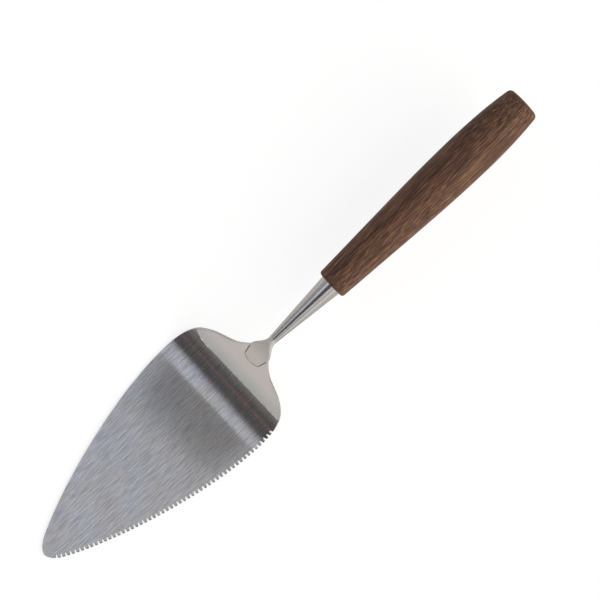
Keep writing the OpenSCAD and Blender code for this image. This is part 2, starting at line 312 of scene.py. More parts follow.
def new_geometry_tree(name, inputs):
    """A geometry node tree with named inputs: the tree, its group nodes and the identifier of each input."""
    tree = bpy.data.node_groups.new(name, "GeometryNodeTree")
    tree.interface.new_socket("Geometry", in_out="INPUT", socket_type="NodeSocketGeometry")
    tree.interface.new_socket("Geometry", in_out="OUTPUT", socket_type="NodeSocketGeometry")
    found = {}
    for label, kind in inputs:
        found[label] = tree.interface.new_socket(label, in_out="INPUT", socket_type=kind).identifier
    return tree, add_node(tree, "NodeGroupInput"), add_node(tree, "NodeGroupOutput"), found


def even_curve(tree, ask):
    """The tree's starting mesh as a curve with evenly spaced points."""
    curve = add_node(tree, "GeometryNodeMeshToCurve", None, {"Mesh": ask["Geometry"]})
    return add_node(tree, "GeometryNodeResampleCurve", {"mode": "LENGTH"},
                    {"Curve": curve.outputs[0], "Length": ask["Point Spacing"]})


def end_with_material(tree, result, geometry, material):
    """Ends a geometry tree with real instances and their material."""
    real = add_node(tree, "GeometryNodeRealizeInstances", None, {"Geometry": geometry})
    painted = add_node(tree, "GeometryNodeSetMaterial", None,
                       {"Geometry": real.outputs[0], "Material": material})
    tree.links.new(painted.outputs[0], result.inputs[0])


def shaped_by(tree, identifiers, values, start):
    """The mesh that a geometry node tree makes of a starting mesh, as plain data without a modifier."""
    holder = bpy.data.objects.new(tree.name + "_start", start)
    bpy.context.scene.collection.objects.link(holder)
    modifier = holder.modifiers.new(tree.name, "NODES")
    modifier.node_group = tree
    for label, value in values.items():
        modifier[identifiers[label]] = value
    evaluated = holder.evaluated_get(bpy.context.evaluated_depsgraph_get())
    made = bpy.data.meshes.new_from_object(evaluated)
    holder.modifiers.remove(modifier)
    bpy.data.objects.remove(holder)
    if not made.polygons:
        raise RuntimeError(f"{tree.name} made no faces")
    return made


def wire(name, points, closed=False):
    """A mesh of points joined one after the other."""
    made = bpy.data.meshes.new(name)
    count = len(points)
    edges = [(i, (i + 1) % count) for i in range(count if closed else count - 1)]
    made.from_pydata([tuple(p) for p in points], edges, [])
    return made


def closed_up(mesh, gap=1e-7):
    """Merges doubles and points all faces of a closed mesh outwards."""
    bm = bmesh.new()
    bm.from_mesh(mesh)
    bmesh.ops.remove_doubles(bm, verts=bm.verts, dist=gap)
    bmesh.ops.dissolve_degenerate(bm, edges=bm.edges, dist=gap)
    bmesh.ops.recalc_face_normals(bm, faces=bm.faces)
    bm.to_mesh(mesh)
    bm.free()
    return mesh


def piece(name, mesh, material, nodes=()):
    """A finished piece of the object at the origin, riding on the body."""
    made = bpy.data.objects.new(name, mesh)
    bpy.context.scene.collection.objects.link(made)
    mesh.materials.clear()
    mesh.materials.append(material)
    if nodes:
        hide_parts(*nodes)
    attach(made, BODY)
    return made


def cubic(shares, low, high, steps):
    """Points of one cubic curve in the box from low to high, without its first point."""
    t = np.arange(1, steps + 1)[:, None] / steps
    p = np.array(shares, float)
    share = (1 - t) ** 3 * p[0] + 3 * (1 - t) ** 2 * t * p[1] + 3 * (1 - t) * t * t * p[2] + t ** 3 * p[3]
    return np.array(low) + share * (np.array(high) - np.array(low))


def ease(t):
    """Smooth step from 0 to 1."""
    c = np.clip(t, 0, 1)
    return c * c * (3 - 2 * c)


class Path:
    """A path in the XZ plane whose slope changes evenly between knots along its length."""

    def __init__(self, start, runs, slopes, samples=20001):
        self.runs, self.slopes = runs, slopes
        self.at_run = np.linspace(runs[0], runs[-1], samples)
        angle = np.interp(self.at_run, runs, slopes)
        step = self.at_run[1] - self.at_run[0]
        middle = (angle[1:] + angle[:-1]) / 2
        self.x = start[0] + np.concatenate([[0], np.cumsum(np.cos(middle) * step)])
        self.z = start[1] + np.concatenate([[0], np.cumsum(np.sin(middle) * step)])

    def slope(self, run):
        return np.interp(run, self.runs, self.slopes)

    def point(self, run):
        return np.array([np.interp(run, self.at_run, self.x), np.interp(run, self.at_run, self.z)])

    def up(self, run):
        angle = self.slope(run)
        return np.array([-np.sin(angle), np.cos(angle)])


# The press line is in the shading only. It turns through this slope, and the shading's slope starts to lag
# LAG_FROM such steps before it and lags by LAG_BY of them at the line
PRESS_STEP = math.radians(0.25)
LAG_FROM, LAG_BY = 32, 20

# At the plain edge the press line lags more: the share of the half width where that starts, the share over
# which it grows to its full length, and how far past that it may go
HOOK_FROM, HOOK_OVER, HOOK_MOST = 0.55, 0.35, 1.2

# In the shading only as well: the share of its length over which the spring back grows, the share of it that
# is left at the long edges, and the lengths over which it gives way to the bend and the twist ends
SPRING_GROWS, SPRING_AT_EDGES = 0.8, 0.15
SPRING_ENDS, TWIST_ENDS = 0.004, 0.003

# The share of a tooth's crest where its grinding starts, and the share over which it grows
GROUND_FROM, GROUND_OVER = 0.55, 0.45

# First cut across the flat, the spacing of the cuts, and the space that they leave before the bend
FLAT_CUTS_FROM, FLAT_CUTS_BY, FLAT_CUTS_LEAVE = 0.003, 0.004, 0.002

# Points of the outline's curves at the tip, the flank, and each half of the shoulder
TIP_STEPS, FLANK_STEPS, SHOULDER_STEPS = 60, 240, 80

# Spacing of the cuts where the press line runs out late, and the least distance of other cuts from them
HOOK_CUT, CUT_CLEAR = 0.00012, 0.00005

# The direction of the brushing, turned off the blade's middle line
BRUSH_TURN = math.radians(2.0)

# Light of the dim room between the panels of the studio
ROOM_LIGHT = (0.042, 0.032, 0.03)


def sheet_path(b):
    """Upper face of the bent sheet, by length from the tip."""
    lead = b.flat_len + b.lead_r * b.lead_slope
    crank = lead + b.crank_r * (b.crank_slope - b.lead_slope)
    eased = crank + b.ease_r * (b.tongue_slope - b.crank_slope)
    runs = [0, b.flat_len, lead, crank, eased, b.flat_len + b.widest_past_bend + 2 * b.shoulder_len]
    slopes = [0, 0, b.lead_slope, b.crank_slope, b.tongue_slope, b.tongue_slope]
    return Path((TIP_X, b.sheet_t), runs, slopes)


def press_line_run(b):
    """Length along the sheet from the tip to the press line."""
    return b.flat_len + b.lead_r * b.lead_slope + b.crank_r * (b.press_line - b.lead_slope)


def tongue_end(b):
    """Length along the sheet from the tip to the tongue's end."""
    return b.flat_len + b.widest_past_bend + b.shoulder_len


def palm_foot(b, s):
    """Length along the sheet from the tip to the palm's free end."""
    return tongue_end(b) + s.tongue_clear - s.palm_len


class StemSizes:
    """The stem's sizes with those that follow from them."""

    def __init__(self, b, s):
        for name in CakeServerStem.__annotations__:
            setattr(self, name, getattr(s, name))
        self.neck_turn = s.neck_bend_r * (b.tongue_slope - s.handle_slope)
        self.cone_start = s.palm_len + self.neck_turn
        self.shoulder = self.cone_start + s.stem_len
        self.narrow_from = s.palm_len - s.narrow_before_bend


def stem_path(b, s):
    """Middle of the palm, the neck and the stem, by length from the palm's free end."""
    sheet, foot = sheet_path(b), palm_foot(b, s)
    start = sheet.point(foot) + s.palm_t / 2 * sheet.up(foot)
    runs = [0, s.palm_len, s.cone_start, s.cone_start + 4 * s.stem_len]
    slopes = [b.tongue_slope, b.tongue_slope, s.handle_slope, s.handle_slope]
    return Path(start, runs, slopes)


def half_outline(b):
    """Plain side of the flat blank, as length along the sheet and distance from its middle."""
    widest = b.flat_len + b.widest_past_bend
    tip = [[0, 0], [0, 0.33], [0.45, 0.74], [1, 1]]
    flank = [[0, 0], [0.232, 0.47], [0.69, 1], [1, 1]]
    shoulder = [[0, 1], [0.2, 1], [0.525, 0.974], [0.705, 0.511]]
    neck = [[0.705, 0.511], [0.822, 0.208], [0.803, 0.203], [1, 0]]
    low, high = (widest, b.tongue_w / 2), (tongue_end(b), b.blade_w / 2)
    return np.vstack([
        [[0, 0]],
        cubic(tip, (0, 0), (b.tip_len, b.tip_w / 2), TIP_STEPS),
        cubic(flank, (b.tip_len, b.tip_w / 2), (widest, b.blade_w / 2), FLANK_STEPS),
        cubic(shoulder, low, high, SHOULDER_STEPS),
        cubic(neck, low, high, SHOULDER_STEPS),
    ])


def running(points):
    """Length along a line of points, at each of them."""
    steps = np.linalg.norm(np.diff(points, axis=0), axis=1)
    return np.concatenate([[0], np.cumsum(steps)])


def palm_half_width(run, s):
    """Half the palm's width, without the rounding of its edges."""
    narrow = s.narrow_from
    rounded = s.palm_end_w / 2 * np.sqrt(np.clip(1 - (1 - run / s.end_len) ** 2, 0, 1))
    straight = s.palm_end_w / 2 + (s.palm_w - s.palm_end_w) / 2 * (run - s.end_len) / (narrow - s.end_len)
    neck = s.palm_w / 2 + (s.neck_d / 2 - s.palm_w / 2) * ease((run - narrow) / (s.cone_start - narrow))
    return float(rounded if run <= s.end_len else straight if run <= narrow else neck)


# Materials

def brushed_steel(f, pressed_from):
    """Stainless sheet, hairline brushed along its length on a belt: fine streaks that run to the tip,
    with reflections that stay sharp along them and smear out across them."""
    made, tree, output = new_material("brushed_stainless_sheet")
    uv = add_node(tree, "ShaderNodeUVMap", {"uv_map": "sheet"}).outputs[0]
    # A belt of grit 180 leaves lines 0.05 to 0.1 mm wide; they are drawn 0.3 mm wide and 8 mm long to show
    hairs = stretched_noise(tree, uv, (0.0075, 0.00055, 1), 2.0, 0.6, BRUSH_TURN)
    # Longer, wider strokes, 1.7 mm wide and 30 mm long
    broad = stretched_noise(tree, uv, (0.03, 0.0017, 1), 2.0, 0.5, BRUSH_TURN)
    # Cloudy places about 14 mm across, cooler and warmer
    clouds = add_node(tree, "ShaderNodeTexNoise", None,
                      {"Vector": uv, "Scale": 1 / 0.014, "Detail": 2.0, "Roughness": 0.5})
    hair_share = remap(tree, hairs, 0.36, 0.6, 0.3, 1.0)
    broad_share = remap(tree, broad, 0.3, 0.7, 0.0, 0.12)
    # The plain side leans to cool and the toothed side to warm, as in the photo
    along = split(tree, uv)
    leaning = calc(tree, "MULTIPLY_ADD", along["Y"], 5.0, clouds.outputs[0])
    cool_share = remap(tree, leaning, 0.4, 0.65, 0.0, 0.5)
    body = blend(tree, cool_share, linear(f.steel), linear(f.steel_cool))
    lined = blend(tree, hair_share, linear(f.steel_line), body)
    stroked = blend(tree, broad_share, lined, linear(f.steel_line))
    # Behind the press line the photo shows an even, warmer skin without hairlines, paler by the neck
    pressed = remap(tree, along["X"], pressed_from - 0.001, pressed_from + 0.002, smooth=True)
    towards_neck = remap(tree, along["X"], pressed_from + 0.001, pressed_from + 0.009, smooth=True)
    skin = blend(tree, towards_neck, linear(f.steel_pressed), linear(f.steel_neck))
    flattened = blend(tree, pressed, stroked, skin)
    # A darker line about 0.5 mm wide lies along the press line, a painted reflection
    off_line = calc(tree, "SUBTRACT", along["X"], pressed_from)
    off_line = calc(tree, "ABSOLUTE", off_line)
    press_line_reflection = remap(tree, off_line, 0.0001, 0.0004, 0.5, 0.0, smooth=True)
    marked = blend(tree, press_line_reflection, flattened, linear(f.weld))
    # Painted shade: the ends of the teeth are drawn darker in colour
    tooth_end_shade = add_node(tree, "ShaderNodeAttribute", {"attribute_name": "ground"})
    tooth_ends_shaded = blend(tree, tooth_end_shade.outputs["Fac"], marked, linear(f.steel_burr))
    rough = remap(tree, hairs, 0.3, 0.7, 0.31, 0.26)
    even = add_node(tree, "ShaderNodeMix", None, {0: pressed, 2: rough, 3: 0.285})
    depth = calc(tree, "MULTIPLY_ADD", pressed, -0.2, 0.2)
    tangent = add_node(tree, "ShaderNodeTangent", {"direction_type": "UV_MAP", "uv_map": "sheet"})
    end_with_surface(tree, output, {
        "Base Color": tooth_ends_shaded, "Metallic": 1.0, "Roughness": even.outputs[0],
        "Anisotropic": 1.0, "Anisotropic Rotation": 0.25,
        "Normal": relief(tree, hairs, depth, 0.00004), "Tangent": tangent.outputs[0]})
    return made


def satin_steel(f, s, taper_start, foot, tongue_slope):
    """Forged stainless, ground lengthwise and satin polished: crisp bands of reflection along the taper,
    with faint grinding lines."""
    made, tree, output = new_material("satin_polished_forging")
    place = add_node(tree, "ShaderNodeTexCoord").outputs["Object"]
    level = turned(tree, "Y", place, s.handle_slope)
    # Grinding lines are 0.1 mm wide; they are drawn 0.4 mm wide and 12 mm long to show
    hairs = stretched_noise(tree, level, (0.012, 0.0004, 0.0004), 2.0, 0.55)
    share = remap(tree, hairs, 0.32, 0.62, 0.75, 1.0)
    body = blend(tree, share, linear(f.steel_line), linear(f.forging))
    # The palm and the neck look duller than the taper
    taper = split(tree, place)
    dull = remap(tree, taper["X"], taper_start - 0.0006, taper_start + 0.0012, 1.0, 0.0, smooth=True)
    rough = remap(tree, hairs, 0.3, 0.7, 0.24, 0.17)
    rough = calc(tree, "MULTIPLY_ADD", dull, 0.36, rough)
    bare = calc(tree, "MULTIPLY_ADD", dull, -0.6, 1.0)
    # The palm is paler than the neck
    neck = remap(tree, taper["X"], taper_start - 0.0095, taper_start - 0.004, smooth=True)
    ground = blend(tree, neck, linear(f.forging_palm), linear(f.forging_skin))
    # The palm has a dark outline of painted shade along its edge: distance to half an ellipse and two sides
    on_palm = vector_calc(tree, "SUBTRACT", place, (foot[0], 0.0, foot[1]))
    palm = split(tree, turned(tree, "Y", on_palm, tongue_slope))
    half = remap(tree, palm["X"], s.end_len, s.narrow_from, s.palm_end_w / 2, s.palm_w / 2)
    end_share = remap(tree, palm["X"], 0.0, s.end_len, 1.0, 0.0)
    side_share = calc(tree, "DIVIDE", palm["Y"], half)
    reach = add_node(tree, "ShaderNodeCombineXYZ", None, {"X": end_share, "Y": side_share})
    size_by = add_node(tree, "ShaderNodeCombineXYZ", None, {"X": s.end_len, "Y": half, "Z": 1.0})
    steep = vector_calc(tree, "DIVIDE", reach.outputs[0], size_by.outputs[0])
    reach = vector_calc(tree, "LENGTH", reach.outputs[0])
    steep = vector_calc(tree, "LENGTH", steep)
    inward = calc(tree, "SUBTRACT", 1.0, reach)
    inward = calc(tree, "MULTIPLY", inward, reach)
    inward = calc(tree, "DIVIDE", inward, steep)
    rim_shade = remap(tree, inward, 0.0003, 0.00062, 1.0, 0.0, smooth=True)
    stopped = remap(tree, palm["X"], s.palm_len - 0.0018, s.palm_len - 0.0004, 0.85, 0.0, smooth=True)
    rim_shade = calc(tree, "MULTIPLY", rim_shade, stopped)
    rim_shaded = blend(tree, rim_shade, ground, linear(f.weld))
    skin = blend(tree, dull, body, rim_shaded)
    end_with_surface(tree, output, {"Base Color": skin, "Metallic": bare, "Roughness": rough,
                                    "Normal": relief(tree, hairs, 0.15, 0.00002)})
    return made


def joint_shade_bead(f):
    """A thin, dull, dark line of painted shade in the joint where the palm is welded on the tongue, with a
    slightly grainy surface.
    """
    made, tree, output = new_material("oxidised_weld_edge")
    place = add_node(tree, "ShaderNodeTexCoord").outputs["Object"]
    grains = add_node(tree, "ShaderNodeTexNoise", None, {"Vector": place, "Scale": 1 / 0.0004, "Detail": 3.0})
    shade = blend(tree, grains.outputs[0], linear(f.weld), linear(f.steel_burr))
    end_with_surface(tree, output, {"Base Color": shade, "Metallic": 0.4, "Roughness": 0.6,
                                    "Normal": relief(tree, grains.outputs[0], 0.3, 0.00004)})
    return made


def oiled_walnut(f, axis_start, axis_slope):
    """Walnut, turned, sanded and oiled: brown body with darker growth lines and many short open pores
    along the grain, and a dull silky surface."""
    made, tree, output = new_material("oiled_walnut")
    place = add_node(tree, "ShaderNodeTexCoord").outputs["Object"]
    centred = vector_calc(tree, "SUBTRACT", place, tuple(axis_start))
    along = turned(tree, "Y", centred, axis_slope)
    # The grain runs a few degrees across the axis of the lathe
    grain = turned(tree, "Z", along, math.radians(-2.5))
    # The grain wanders about 0.5 mm to the side over 30 mm
    wander_at = add_node(tree, "ShaderNodeMapping", None,
                         {"Vector": grain, "Scale": (1 / 0.03, 1 / 0.012, 1 / 0.012)})
    wander = add_node(tree, "ShaderNodeTexNoise", None,
                      {"Vector": wander_at.outputs[0], "Scale": 1.0, "Detail": 1.5, "Roughness": 0.4})
    push = vector_calc(tree, "SCALE", wander.outputs["Color"], 0.0009)
    bent = vector_calc(tree, "ADD", grain, push)
    # Growth rings are about 2.6 mm wide, round a heart that lies 45 mm to the side of the handle
    heart = vector_calc(tree, "MULTIPLY_ADD", bent, (0.0, 1.0, 1.0), (0.0, 0.038, 0.024))
    distance = vector_calc(tree, "LENGTH", heart)
    rings = calc(tree, "MULTIPLY", distance, 1 / 0.0026)
    ring_phase = calc(tree, "FRACT", rings)
    late = remap(tree, ring_phase, 0.25, 0.95, smooth=True)
    fall = remap(tree, ring_phase, 0.95, 1.0, 1.0, 0.0, smooth=True)
    late_wood = calc(tree, "MULTIPLY", late, fall)
    # Broad darker and lighter streaks, 4 mm wide and 50 mm long
    streaks = stretched_noise(tree, bent, (0.05, 0.0042, 0.0042), 3.0, 0.55)
    # Fibres 0.3 mm wide and 15 mm long, drawn coarser than real ones so that they show
    fibres = stretched_noise(tree, bent, (0.015, 0.0003, 0.0003), 3.0, 0.6)
    # Pores 0.2 to 0.3 mm wide and 4 mm long
    pores = stretched_noise(tree, bent, (0.0045, 0.00034, 0.00034), 1.0, 0.4)
    pore_share = remap(tree, pores, 0.58, 0.68)
    # The handle's colour is paler towards its toothed side and darker towards its plain side, painted light
    # and shade over the wood's own streaks
    streaks_and_painted_side_light = calc(tree, "MULTIPLY_ADD", split(tree, place)["Y"], -26.0, streaks)
    light_share = remap(tree, streaks_and_painted_side_light, 0.42, 0.72)
    body = blend(tree, light_share, linear(f.walnut_mid), linear(f.walnut_light))
    dark_share = calc(tree, "MULTIPLY", late_wood, 0.55)
    ringed = blend(tree, dark_share, body, linear(f.walnut_dark))
    fibre_share = remap(tree, fibres, 0.35, 0.65, 0.75, 0.0)
    fibred = blend(tree, fibre_share, ringed, linear(f.walnut_dark))
    # Here and there a fibre shows as an orange thread, a painted glint where it catches the light
    glint_share = remap(tree, fibres, 0.53, 0.66, 0.0, 0.8)
    glinting = blend(tree, glint_share, fibred, linear(f.walnut_thread))
    pored_share = calc(tree, "MULTIPLY", pore_share, 0.65)
    pored = blend(tree, pored_share, glinting, linear(f.walnut_pore))
    rough = remap(tree, fibres, 0.3, 0.7, 0.62, 0.5)
    height = calc(tree, "MULTIPLY_ADD", pore_share, -1.0, fibres)
    end_with_surface(tree, output, {"Base Color": pored, "Roughness": rough, "IOR": 1.45,
                                    "Specular IOR Level": 0.2, "Normal": relief(tree, height, 0.5, 0.00008)})
    return made


def cured_epoxy(f):
    """Cured epoxy glue: amber, slightly cloudy and glossy, with tiny bubbles."""
    made, tree, output = new_material("cured_epoxy")
    place = add_node(tree, "ShaderNodeTexCoord").outputs["Object"]
    # Bubbles about 0.5 mm across
    bubbles = add_node(tree, "ShaderNodeTexVoronoi", None, {"Vector": place, "Scale": 1 / 0.0012})
    share = remap(tree, bubbles.outputs["Distance"], 0.1, 0.3, 0.5, 0.0)
    shade = blend(tree, share, linear(f.epoxy), linear("#EAD9AE"))
    end_with_surface(tree, output, {"Base Color": shade, "Roughness": 0.28, "IOR": 1.55,
                                    "Normal": relief(tree, bubbles.outputs["Distance"], 0.2, 0.0001)})
    return made


def pale_floor(t):
    """Matt pale board. What is seen of it is white, mixed with its lit shade so that the shadow stays."""
    made, tree, output = new_material("pale_matt_board")
    lit = add_node(tree, "ShaderNodeBsdfDiffuse", None, {"Color": linear(t.floor)})
    share = t.floor_share
    shade = add_node(tree, "ShaderNodeBsdfDiffuse", None, {"Color": (share, share, share, 1.0)})
    white = add_node(tree, "ShaderNodeEmission", None, {"Color": (1, 1, 1, 1), "Strength": 1.0 - 0.7 * share})
    seen = add_node(tree, "ShaderNodeAddShader", None, {0: white.outputs[0], 1: shade.outputs[0]})
    mirrored = add_node(tree, "ShaderNodeEmission", None, {"Color": linear("#F4F0EC"), "Strength": 0.95})
    rays = add_node(tree, "ShaderNodeLightPath")
    shine = calc(tree, "MAXIMUM", rays.outputs["Is Glossy Ray"], rays.outputs["Is Transmission Ray"])
    first = add_node(tree, "ShaderNodeMixShader", None,
                     {0: shine, 1: lit.outputs[0], 2: mirrored.outputs[0]})
    both = add_node(tree, "ShaderNodeMixShader", None,
                    {0: rays.outputs["Is Camera Ray"], 1: first.outputs[0], 2: seen.outputs[0]})
    tree.links.new(both.outputs[0], output.inputs[0])
    return made


# Pieces

def toothed_edge_tree():
    """Cuts the teeth into an outline: each point moves inwards by what the gap that it lies in takes."""
    tree, given, result, names = new_geometry_tree("toothed_blank", [
        ("Tooth Pitch", "NodeSocketFloat"), ("Tooth Depth", "NodeSocketFloat"),
        ("First Gap Mouth", "NodeSocketFloat"), ("Last Gap Mouth", "NodeSocketFloat"),
        ("Gap Root Width", "NodeSocketFloat"),
        ("First Gap", "NodeSocketFloat"), ("Last Gap", "NodeSocketFloat"),
        ("Point Spacing", "NodeSocketFloat"), ("Material", "NodeSocketMaterial")])
    ask = given.outputs
    cut = even_curve(tree, ask)
    edge_run = add_node(tree, "GeometryNodeInputNamedAttribute", {"data_type": "FLOAT"}, {"Name": "edge_run"})
    tangent = add_node(tree, "GeometryNodeInputTangent")
    sideways = vector_calc(tree, "CROSS_PRODUCT", tangent.outputs[0], (0.0, 0.0, 1.0))
    facing = calc(tree, "SIGN", split(tree, sideways)["Y"])
    inward = vector_calc(tree, "SCALE", sideways, facing)
    past_first = calc(tree, "SUBTRACT", edge_run.outputs[0], ask["First Gap"])
    in_pitches = calc(tree, "DIVIDE", past_first, ask["Tooth Pitch"])
    nearest = calc(tree, "ROUND", in_pitches)
    off = calc(tree, "SUBTRACT", in_pitches, nearest)
    gaps = calc(tree, "SUBTRACT", ask["Last Gap"], ask["First Gap"])
    gap_pitches = calc(tree, "DIVIDE", gaps, ask["Tooth Pitch"])
    mouth = remap(tree, in_pitches, 0.0, gap_pitches, ask["First Gap Mouth"], ask["Last Gap Mouth"])
    half_mouth = calc(tree, "MULTIPLY", mouth, 0.5)
    off_size = calc(tree, "ABSOLUTE", off)
    from_gap = calc(tree, "MULTIPLY", off_size, ask["Tooth Pitch"])
    half_root = calc(tree, "MULTIPLY", ask["Gap Root Width"], 0.5)
    share = remap(tree, from_gap, half_root, half_mouth, 1.0, 0.0)
    starts = calc(tree, "GREATER_THAN", in_pitches, -0.5)
    gap_end = calc(tree, "ADD", gap_pitches, 0.5)
    ends = calc(tree, "LESS_THAN", in_pitches, gap_end)
    within = calc(tree, "MULTIPLY", starts, ends)
    taken = calc(tree, "MULTIPLY", share, within)
    deep = calc(tree, "MULTIPLY", taken, ask["Tooth Depth"])
    offset = vector_calc(tree, "SCALE", inward, deep)
    # How much of a tooth's end a point belongs to, kept for the grinding that follows
    crest = calc(tree, "SUBTRACT", 1.0, share)
    crest_in = calc(tree, "MULTIPLY", crest, within)
    kept = add_node(tree, "GeometryNodeStoreNamedAttribute", {"data_type": "FLOAT", "domain": "POINT"},
                    {"Geometry": cut.outputs[0], "Name": "crest", "Value": crest_in})
    moved = add_node(tree, "GeometryNodeSetPosition", None, {"Geometry": kept.outputs[0], "Offset": offset})
    sheet = add_node(tree, "GeometryNodeFillCurve", {"mode": "TRIANGLES"}, {"Curve": moved.outputs[0]})
    line = add_node(tree, "GeometryNodeCurveToMesh", None, {"Curve": moved.outputs[0]})
    close = add_node(tree, "GeometryNodeSampleNearest", {"domain": "POINT"}, {"Geometry": line.outputs[0]})
    crest_of = add_node(tree, "GeometryNodeInputNamedAttribute", {"data_type": "FLOAT"}, {"Name": "crest"})
    found = add_node(tree, "GeometryNodeSampleIndex", {"data_type": "FLOAT", "domain": "POINT"},
                     {"Geometry": line.outputs[0], "Value": crest_of.outputs[0], "Index": close.outputs[0]})
    marked = add_node(tree, "GeometryNodeStoreNamedAttribute", {"data_type": "FLOAT", "domain": "POINT"},
                      {"Geometry": sheet.outputs[0], "Name": "crest", "Value": found.outputs[0]})
    end_with_material(tree, result, marked.outputs[0], ask["Material"])
    return tree, names


def blank_outline(b, teeth):
    """Closed outline of the flat blank: the side that gets the teeth, then the plain side back to the tip.
    Each point keeps its length along the toothed edge, and the plain side keeps a length before the tip."""
    side = half_outline(b)
    runs = running(side)
    toothed = side * [1, -1]
    plain = side[1:-1][::-1]
    outline = wire("blank_outline", [(p[0], p[1], 0.0) for p in np.vstack([toothed, side[-1:], plain])], True)
    kept = outline.attributes.new("edge_run", "FLOAT", "POINT")
    edge_runs = np.concatenate([runs, [runs[-1] + 1], [-1.0] * len(plain)])
    kept.data.foreach_set("value", edge_runs.astype(np.float32))
    widest_run = runs[TIP_STEPS + FLANK_STEPS]
    count = math.floor((widest_run + teeth.past_widest - teeth.plain_edge) / teeth.pitch)
    return outline, teeth.plain_edge + count * teeth.pitch


def bend_stations(b):
    """Lengths along the sheet at which it is cut across before it is bent."""
    path = sheet_path(b)
    cuts = [np.linspace(path.runs[i], path.runs[i + 1], n, endpoint=i == 3)
            for i, n in ((1, 14), (2, 20), (3, 10))]
    line = [path.runs[2] + b.crank_r * (b.press_line + half_step - b.lead_slope)
            for half_step in (-PRESS_STEP / 2, PRESS_STEP / 2)]
    line += list(np.arange(line[-1] + HOOK_CUT, line[-1] + 1.3 * b.press_hook, HOOK_CUT))
    kept = [run for run in np.concatenate(cuts) if min(abs(run - at) for at in line) > CUT_CLEAR]
    return np.sort(kept + line)


